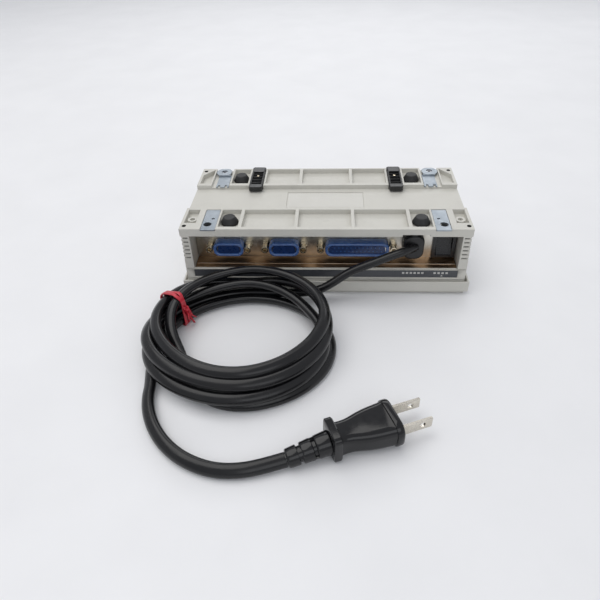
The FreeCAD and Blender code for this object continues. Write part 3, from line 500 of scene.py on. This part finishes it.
# ---------------------------------------------------------------- twist tie
TIE_ANGLE = 151                          # degrees round the coil
TIE_THICK = 0.8                          # mm
TIE_WIDE = 2.2
TIE_SIDES = 16                           # points round each strand that the tie goes over
TIE_FLOOR = 0.5                          # mm, its lowest middle line
TIE_LOOPS = ((-1.2, 0.35), (1.1, 0.6))   # mm along the cord, and off its edge
TIE_WAVE = 0.5                           # mm that a loop wanders
KNOT_IN, KNOT_HIGH = 0.8, 13.0           # mm inside the strands, and above the floor
TWIST_STEPS, TWIST_TURN, TWIST_DROP = 25, 11.0, 7.0     # the turn is in radians, the drop in mm
TWIST_RADIUS = 1.1                       # mm
TAILS = ((-3.4, -8.4, -1.6), (-2.2, -6.4, -4.4), (-5.0, -0.6, 3.6))     # mm outwards, up and aside


def hull(points):
    """The outline that a taut band takes round some points, given as pairs."""
    points = sorted(points)
    outline = []
    for row in (points, points[::-1]):
        half = []
        for x, y in row:
            while len(half) > 1 and ((half[-1][0] - half[-2][0]) * (y - half[-2][1])
                                     <= (half[-1][1] - half[-2][1]) * (x - half[-2][0])):
                half.pop()
            half.append((x, y))
        outline += half[:-1]
    return outline


def strands_at(line, outward):
    """Where the lead crosses the upright plane through the coil's middle, as (reach, height)."""
    across = Vector((-outward.y, outward.x, 0))
    middle = Vector((*COIL_MIDDLE, 0))
    spots = []
    for before, after in zip(line, line[1:]):
        a, b = (before - middle).dot(across), (after - middle).dot(across)
        if a * b <= 0 and a != b and (before - middle).dot(outward) > 0:
            spot = before.lerp(after, a / (a - b)) - middle
            spots.append((spot.dot(outward), spot.z))
    return spots


def make_tie(line):
    turn = math.radians(TIE_ANGLE)
    outward = Vector((math.cos(turn), math.sin(turn), 0))
    along = Vector((-math.sin(turn), math.cos(turn), 0))
    middle = Vector((*COIL_MIDDLE, 0))
    spots = strands_at(line, outward)
    solids = []
    for shift, grow in TIE_LOOPS:
        reach = CORD_WIDE / 2 + grow
        circle = [(reach * math.cos(math.tau * k / TIE_SIDES), reach * math.sin(math.tau * k / TIE_SIDES))
                  for k in range(TIE_SIDES)]
        around = [(x + a, max(z + b, TIE_FLOOR)) for x, z in spots for a, b in circle]
        loop = hull(around)
        count = len(loop)
        rings = []
        for i, (x, z) in enumerate(loop):
            ahead = Vector(loop[(i + 1) % count]) - Vector(loop[i - 1])
            out = (outward * ahead.y - Vector((0, 0, ahead.x))).normalized()
            aside = shift + TIE_WAVE * math.sin(i + shift)
            point = middle + outward * x + Vector((0, 0, z)) + along * aside
            rings.append([point + a * along + b * out for a, b in rounded(TIE_WIDE, TIE_THICK, 0.3, 2)])
        solids.append(loft(rings, ring_closed=True))
    inner = min(x for x, z in spots) - CORD_WIDE / 2
    knot = middle + outward * (inner - KNOT_IN) + Vector((0, 0, KNOT_HIGH))
    for phase in (0.0, math.pi):
        twist = []
        for i in range(TWIST_STEPS + 1):
            done = i / TWIST_STEPS
            swirl = phase + TWIST_TURN * done
            spot = knot - outward * KNOT_IN * done + Vector((0, 0, 1.5 - TWIST_DROP * done))
            twist.append(spot + along * (TWIST_RADIUS * math.cos(swirl) - 1.5 * done)
                         + outward * TWIST_RADIUS * math.sin(swirl))
        solids.append(swept(twist, rounded(1.9, 0.9, 0.35, 2), upright=along + Vector((0, 0, 0.2))))
    for back, drop, aside in TAILS:
        tail = [knot + Vector((0, 0, -2.0)),
                knot + outward * (back * 0.6) + Vector((0, 0, -2.0 + drop * 0.45)) + along * aside * 0.3,
                knot + outward * back + Vector((0, 0, -2.0 + drop)) + along * aside]
        solids.append(swept(smooth_line("tail_line", tail, 8), rounded(2.0, 0.7, 0.25, 2), upright=along))
    return built("lead_tie_finish", solids, "tie", replaces=["lead_tie"], soft_angle=50)


# ---------------------------------------------------------------- plug
PLUG_AT = (34.6, -156.0, 8.0)            # mm, middle of the flange
PLUG_HEADING = 22.0                      # degrees


def plug_turn():
    return Matrix.Translation(Vector(PLUG_AT) * MM) @ Matrix.Rotation(math.radians(PLUG_HEADING), 4, "Z")


def stations(table, lift=0.0):
    """Rings across X from (x, half width, half height, corner radius)."""
    return [[(x, a, b + lift) for a, b in rounded(2 * half, 2 * tall, min(radius, half, tall), 6)]
            for x, half, tall, radius in table]


def make_plug_body():
    grip = [
        (-29.2, 6.9, 6.9, 3.0), (-28.2, 6.7, 6.7, 3.2), (-26.0, 6.75, 6.5, 3.4), (-23.0, 7.1, 6.4, 3.7),
        (-20.5, 7.8, 6.4, 4.0), (-18.0, 8.5, 6.5, 4.2), (-15.5, 9.15, 6.6, 4.3), (-12.5, 9.7, 6.7, 4.3),
        (-9.0, 10.15, 6.75, 4.3), (-5.5, 10.45, 6.8, 4.3), (-3.0, 10.6, 6.8, 4.2), (-2.0, 10.9, 7.0, 4.2),
    ]
    flange = [(-2.3, 11.0, 7.1, 5.6), (-2.1, 11.7, 7.8, 6.2), (-1.6, 11.9, 8.0, 6.4), (0.6, 11.9, 8.0, 6.4),
              (1.4, 11.6, 7.7, 6.0), (1.8, 11.0, 7.1, 5.4)]
    collar = [(-33.0, 7.8, 8.1, 2.4), (-32.6, 8.2, 8.6, 2.8), (-29.6, 8.2, 8.6, 2.8), (-29.0, 7.7, 8.0, 2.5)]
    solids = [loft(stations(grip)), loft(stations(flange)), loft(stations(collar, lift=0.7))]
    return built("plug_body_finish", solids, "plug", replaces=["plug_body"], soft_angle=40,
                 turn=plug_turn())


RELIEF_START, RELIEF_END = (-54.5, 0, -3.1), (-33.0, 0, -0.6)      # mm, before the plug is placed
RELIEF_RADIUS, RELIEF_SPREAD = 4.7, 1.45                 # mm at its start, and added by its end
RELIEF_CORE = 1.25                                       # mm that the core lies under the sleeves
RELIEF_SIDES = 32
RELIEF_SLEEVE, RELIEF_PITCH = 5.9, 7.4                   # mm, a sleeve's length and the step to the next
BRIDGE_HALF, BRIDGE_TURN = 1.2, 52                       # mm along the relief, degrees round it
BRIDGE_OUTER, BRIDGE_INNER = 0.25, 1.6                   # mm under the sleeves


def make_plug_relief():
    """Three sleeves on a tapered core, joined by short bridges that leave slots between them."""
    start, end = Vector(RELIEF_START), Vector(RELIEF_END)
    axis = (end - start).normalized()
    side = Vector((0, 1, 0))
    up = axis.cross(side) * -1
    length = (end - start).length
    turn = Matrix((axis, side, up)).transposed()

    def spot(s, radius, angle):
        return start + turn @ Vector((s, radius * math.cos(angle), radius * math.sin(angle)))

    def ring(s, radius):
        return [spot(s, radius, math.tau * i / RELIEF_SIDES) for i in range(RELIEF_SIDES)]

    def wide(s):
        return RELIEF_RADIUS + RELIEF_SPREAD * s / length

    solids = [loft([ring(s, wide(s) - RELIEF_CORE) for s in (-0.6, length * 0.5, length + 0.8)])]
    for i in range(3):
        low = i * RELIEF_PITCH
        high = low + RELIEF_SLEEVE if i < 2 else length + 0.6
        table = ((low, -0.55), (low + 0.35, -0.1), (low + 0.8, 0.0),
                 (high - 0.8, 0.0), (high - 0.35, -0.1), (high, -0.55))
        solids.append(loft([ring(s, wide(s) + d) for s, d in table]))
    for i in range(2):
        gap = i * RELIEF_PITCH + (RELIEF_SLEEVE + RELIEF_PITCH) / 2
        for k in range(2):
            middle = math.radians(BRIDGE_TURN + 180 * k + 90 * i)
            bridge = []
            for s in (gap - BRIDGE_HALF, gap + BRIDGE_HALF):
                outer = [spot(s, wide(s) - BRIDGE_OUTER, middle + t) for t in (-0.5, -0.25, 0.0, 0.25, 0.5)]
                inner = [spot(s, wide(s) - BRIDGE_INNER, middle + t) for t in (0.5, 0.0, -0.5)]
                bridge.append(outer + inner)
            solids.append(loft(bridge))
    return built("plug_relief_finish", solids, "plug", replaces=["plug_relief"],
                 soft_angle=40, turn=plug_turn())


def build_cord():
    lead, line, length = make_lead()
    tie = make_tie(line)
    body = make_plug_body()
    relief = make_plug_relief()
    blades = crisp("plug_blades", "blade", 0.22)


# ---------------------------------------------------------------- casing
def slab(xs, ys, zs, radius=0.4):
    """A block with rounded upright edges and an eased top, between pairs of mm."""
    middle = Vector((sum(xs) / 2, sum(ys) / 2, 0))
    wide, deep = xs[1] - xs[0], ys[1] - ys[0]
    ease = min(0.25, radius, (zs[1] - zs[0]) / 3)
    return loft([[middle + Vector((a, b, z)) for a, b in rounded(wide - inset, deep - inset, radius, 3)]
                 for z, inset in ((zs[0], 0), (zs[1] - ease, 0), (zs[1], 2 * ease))])


LEG_RIBS = (18.0, 22.5, 27.0, 31.5)      # Y of the cross ribs, mm
LEG_HALF = 4.6                           # mm, half its width
HINGE_RADIUS, HINGE_LEVEL = 3.3, 46.7    # mm; the level is the axis's height
AXLE_RADIUS = 1.25
PIN_RADIUS, PIN_Y = 0.8, 29.6            # mm, a small bright pin in the hollow


def make_leg(word):
    """A folded tilt leg: a hinge block, a ribbed hollow between two rails, and a rounded tip."""
    low, high = (Vector(c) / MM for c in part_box(f"tilt_leg_{word}"))
    middle, top, tip, hinge = (low.x + high.x) / 2, high.z, low.y, high.y - HINGE_RADIUS
    left, right = middle - LEG_HALF, middle + LEG_HALF
    solids = [
        slab((left, right), (tip, tip + 4.6), (top - 3.4, top), 1.4),
        slab((left + 0.4, right - 0.4), (tip + 4, hinge - 4), (top - 3.0, top - 1.5)),
        slab((left + 0.5, right - 0.5), (hinge - 6, hinge + 1.6), (top - 3.0, top)),
    ]
    for edges in ((left, left + 1.1), (right - 1.1, right)):
        solids.append(slab(edges, (tip + 3, hinge - 5), (top - 3.0, top - 0.1)))
    solids += [slab((left + 1, right - 1), (y, y + 0.9), (top - 2, top - 0.4)) for y in LEG_RIBS]
    for radius, reach in ((HINGE_RADIUS, LEG_HALF), (AXLE_RADIUS, (high.x - low.x) / 2)):
        solids.append(loft([[(middle + end * reach, hinge + radius * math.cos(k * math.pi / 12),
                              HINGE_LEVEL + radius * math.sin(k * math.pi / 12))
                             for k in range(24)] for end in (-1, 1)]))
    built(f"tilt_leg_{word}_finish", solids, "leg", body=f"leg_{word}",
          replaces=[f"tilt_leg_{word}"])
    circle = [(PIN_RADIUS * math.cos(k * math.pi / 6), PIN_RADIUS * math.sin(k * math.pi / 6))
              for k in range(12)]
    pin = [[(middle + a, PIN_Y + b, z) for a, b in circle] for z in (top - 1.6, top - 0.9)]
    built(f"tilt_leg_{word}_pin", [loft(pin)], "jack", body=f"leg_{word}")


BORES = ((73.8, -36.1, 2.3), (88.4, -38.4, 1.5), (88.4, 38.4, 1.5))      # |x|, y and reach in mm
BORE_TOP = 48.4                          # mm, a bore's faces are lower than this
LOUVRE_TOP = 43                          # mm
LOUVRE_REAR, LOUVRE_SIDE = 41.6, 89.5    # mm, how far out the backs of the louvres are
LOUVRE_REAR_FROM = 85.9                  # mm, |x| at which the rear louvres start


def painted_shade_in_bores_and_louvres(at, normal):
    """Deep bores and the backs of the louvres take the dark inner plastic as painted shade."""
    if any(math.hypot(abs(at.x) - x, at.y - y) < reach and at.z < BORE_TOP for x, y, reach in BORES):
        return 1
    rear = abs(at.x) > LOUVRE_REAR_FROM and abs(at.y + LOUVRE_REAR) < 0.06
    side = abs(abs(at.x) - LOUVRE_SIDE) < 0.06 and abs(normal.x) > 0.9
    return 1 if at.z < LOUVRE_TOP and (rear or side) else 0


BRONZE_TOP = 19.6                        # mm, the recess floor and shelf are lower than this


def panel_bronze_and_painted_bend_highlight(at, normal):
    """Up-facing faces of the recess floor and its shelf are bronze; the other faces keep the light plating,
    which on the bend is a painted highlight.
    """
    return 1 if at.z < BRONZE_TOP and normal.z > 0.5 else 0


DASH_ROWS = ((50.3, 65.0), (70.4, 80.6))                 # mm, from X to X
DASH_PITCH, DASH_LONG = 2.4, 1.5                         # mm
DASH_LOW, DASH_HIGH = 15.0, 16.4                         # mm above the floor
MARK = ((75.0, 13.1), (76.6, 13.1), (75.8, 14.2))        # mm, the triangle's (X, Z)
PRINT_PROUD, PRINT_THICK = 0.04, 0.05                    # mm


def make_strip_print():
    """Plain dashes and one small triangle where the strip is printed; they spell nothing."""
    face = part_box("label_strip")[0][1] / MM - PRINT_PROUD

    def printed(flat):
        return loft([[(x, face + back, z) for x, z in flat] for back in (0.0, PRINT_THICK)])

    solids = []
    for start, end in DASH_ROWS:
        count = round((end - start) / DASH_PITCH)
        for i in range(count):
            left = start + (end - start) * i / count
            right = left + DASH_LONG
            solids.append(printed((
                (left, DASH_LOW), (right, DASH_LOW), (right, DASH_HIGH), (left, DASH_HIGH))))
    solids.append(printed(MARK))
    built("strip_marks", solids, "print")


def make_casing():
    crisp("lower_case", "case", 0.28, more=["dark"], choose=painted_shade_in_bores_and_louvres)
    make_strip_print()
    crisp("upper_case", "case", 0.0)
    crisp("top_cover", "case", 0.5, 3)
    crisp("top_label", "cover_panel", 0.1)
    crisp("label_strip", "strip", 0.05, 1)
    crisp("underside_label", "label", 0.08)
    crisp("rear_panel", "panel", 0.35, 3, more=["bronze"], choose=panel_bronze_and_painted_bend_highlight)
    for word in ("left", "right"):
        crisp(f"rear_plate_{word}", "zinc", 0.18)
        crisp(f"front_plate_{word}", "zinc", 0.18)
        make_leg(word)
    crisp("plate_screws", "screw", 0.12)
    crisp("case_screws", "screw", 0.1)
    for word in ("rear_left", "rear_right", "front_left", "front_right"):
        crisp(f"foot_{word}", "foot", 0.5, 3)


DOT_PITCH = 2.6                          # mm between the dots on the widest cap
DOT_ROWS = ((13, -1.3), (12, 1.3))       # dots in a row, and mm above the cap's middle


def make_dust_cap(word):
    """A soft cap with a rounded rim round a sunken face."""
    low, high = (Vector(c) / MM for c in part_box(f"dust_cap_{word}"))
    centre, wide, tall = (low + high) / 2, high.x - low.x, high.z - low.z
    front, back = low.y, high.y
    corner = min(tall * 0.42, 4.2)

    def ring(y, shrink):
        return [(centre.x + a, y, centre.z + b)
                for a, b in rounded(wide - 2 * shrink, tall - 2 * shrink, corner - 0.6 * shrink, 6)]

    rim = [ring(y, shrink) for y, shrink in (
        (back, 0.0), (back, 0.9), (front + 1.4, 1.9), (front + 0.5, 1.75), (front + 0.1, 1.3), (front, 0.9),
        (front + 0.1, 0.45), (front + 0.5, 0.12), (front + 1.2, 0.0))]
    built(f"dust_cap_{word}_finish", [loft(rim, ring_closed=True)], "cap",
          replaces=[f"dust_cap_{word}"], soft_angle=50)
    # the sunken face is darker: partly the connector seen through the plastic, partly painted shade in the
    # recess
    face = [ring(front + 1.9, 1.7), ring(front + 1.2, 1.8)]
    built(f"dust_cap_{word}_face", [loft(face)], "cap_deep")
    if word == "parallel":
        dots = []
        for count, level in DOT_ROWS:
            for i in range(count):
                x, z = centre.x + (i - (count - 1) / 2) * DOT_PITCH, centre.z + level
                dots.append(loft([[(x + r * math.cos(k * math.pi / 4), y, z + r * math.sin(k * math.pi / 4))
                                   for k in range(8)]
                                  for y, r in ((front + 1.3, 0.5), (front + 0.95, 0.32))]))
        built("dust_cap_parallel_dots", dots, "cap")


BUSHING_KEY = 1.6                        # mm that its key stands over the head
BUSHING_NECK = 6.0                       # mm behind the panel's face
BUSHING_CORNER = 5.2                     # mm
NECK_WIDE, NECK_HIGH, NECK_CORNER = 10.6, 12.2, 1.5      # mm


def make_bushing():
    """A rounded head with two grooves round it, a key on top and a neck through the panel."""
    low, high = (Vector(c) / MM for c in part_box("cord_bushing"))
    top, panel = high.z - BUSHING_KEY, high.y - BUSHING_NECK
    x, z = (low.x + high.x) / 2, (low.z + top) / 2
    wide, tall = high.x - low.x, top - low.z

    def ring(y, shrink):
        return [(x + a, y, z + b)
                for a, b in rounded(wide - 2 * shrink, tall - 2 * shrink, BUSHING_CORNER - shrink, 8)]

    front = low.y
    head = [ring(y, shrink) for y, shrink in (
        (panel, 0.2), (panel - 1.6, 0.0), (panel - 1.8, 0.6), (panel - 2.6, 0.6), (panel - 2.8, 0.0),
        (front + 3.4, 0.0), (front + 3.2, 0.6), (front + 2.4, 0.6), (front + 2.2, 0.0), (front + 0.8, 0.3),
        (front + 0.2, 0.9), (front, 1.7))]
    key = slab((x - 1.8, x + 1.8), (front + 1, panel), (top - 1, high.z), 0.6)
    neck = [[(x + a, y, z + b) for a, b in rounded(NECK_WIDE, NECK_HIGH, NECK_CORNER, 3)]
            for y in (panel - 0.5, high.y)]
    built("cord_bushing_finish", [loft(head), key, loft(neck)], "bush",
          replaces=["cord_bushing"])


def make_rear_fittings():
    for word in ("serial_left", "serial_right", "parallel"):
        crisp(f"{word}_shell", "shell", 0.15)
        crisp(f"{word}_insert", "insert", 0.1)
        make_dust_cap(word)
    crisp("connector_pins", "gold", 0.1)
    crisp("jackscrews", "jack", 0.2)
    make_bushing()
    crisp("switch_housing", "switch", 0.3)
    crisp("power_rocker", "rocker", 0.4, 3, body="rocker")


def make_front():
    crisp("front_panel", "front", 0.25)
    crisp("display_window", "window", 0.25)
    for i in range(1, 6):
        crisp(f"key_{i}", "key", 0.5, 3, body=f"button_{i}")


INNER = {
    "main_board": "board", "display_board": "board", "display_module": "glass", "fuse": "glass",
    "key_switches": "dark", "fuse_holder": "dark", "capacitors": "dark", "standoffs": "jack",
    "board_screws": "screw", "transformer_core": "iron", "transformer_winding": "copper",
}


def make_inside():
    """The pieces inside keep their CAD shapes."""
    for node, word in INNER.items():
        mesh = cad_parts[node].data
        mesh.materials.clear()
        mesh.materials.append(MATERIALS[word])


FLOOR_HALF = 4.0                         # m


def make_floor():
    mesh = bpy.data.meshes.new("floor")
    corners = [(FLOOR_HALF * x, FLOOR_HALF * y, 0) for x, y in ((-1, -1), (1, -1), (1, 1), (-1, 1))]
    mesh.from_pydata(corners, [], [(0, 1, 2, 3)])
    mesh.materials.append(MATERIALS["floor"])
    floor = bpy.data.objects.new("floor", mesh)
    bpy.context.scene.collection.objects.link(floor)


make_camera()
make_light()
make_floor()
build_cord()
make_casing()
make_rear_fittings()
make_front()
make_inside()
bpy.context.scene.view_settings.view_transform = "Standard"
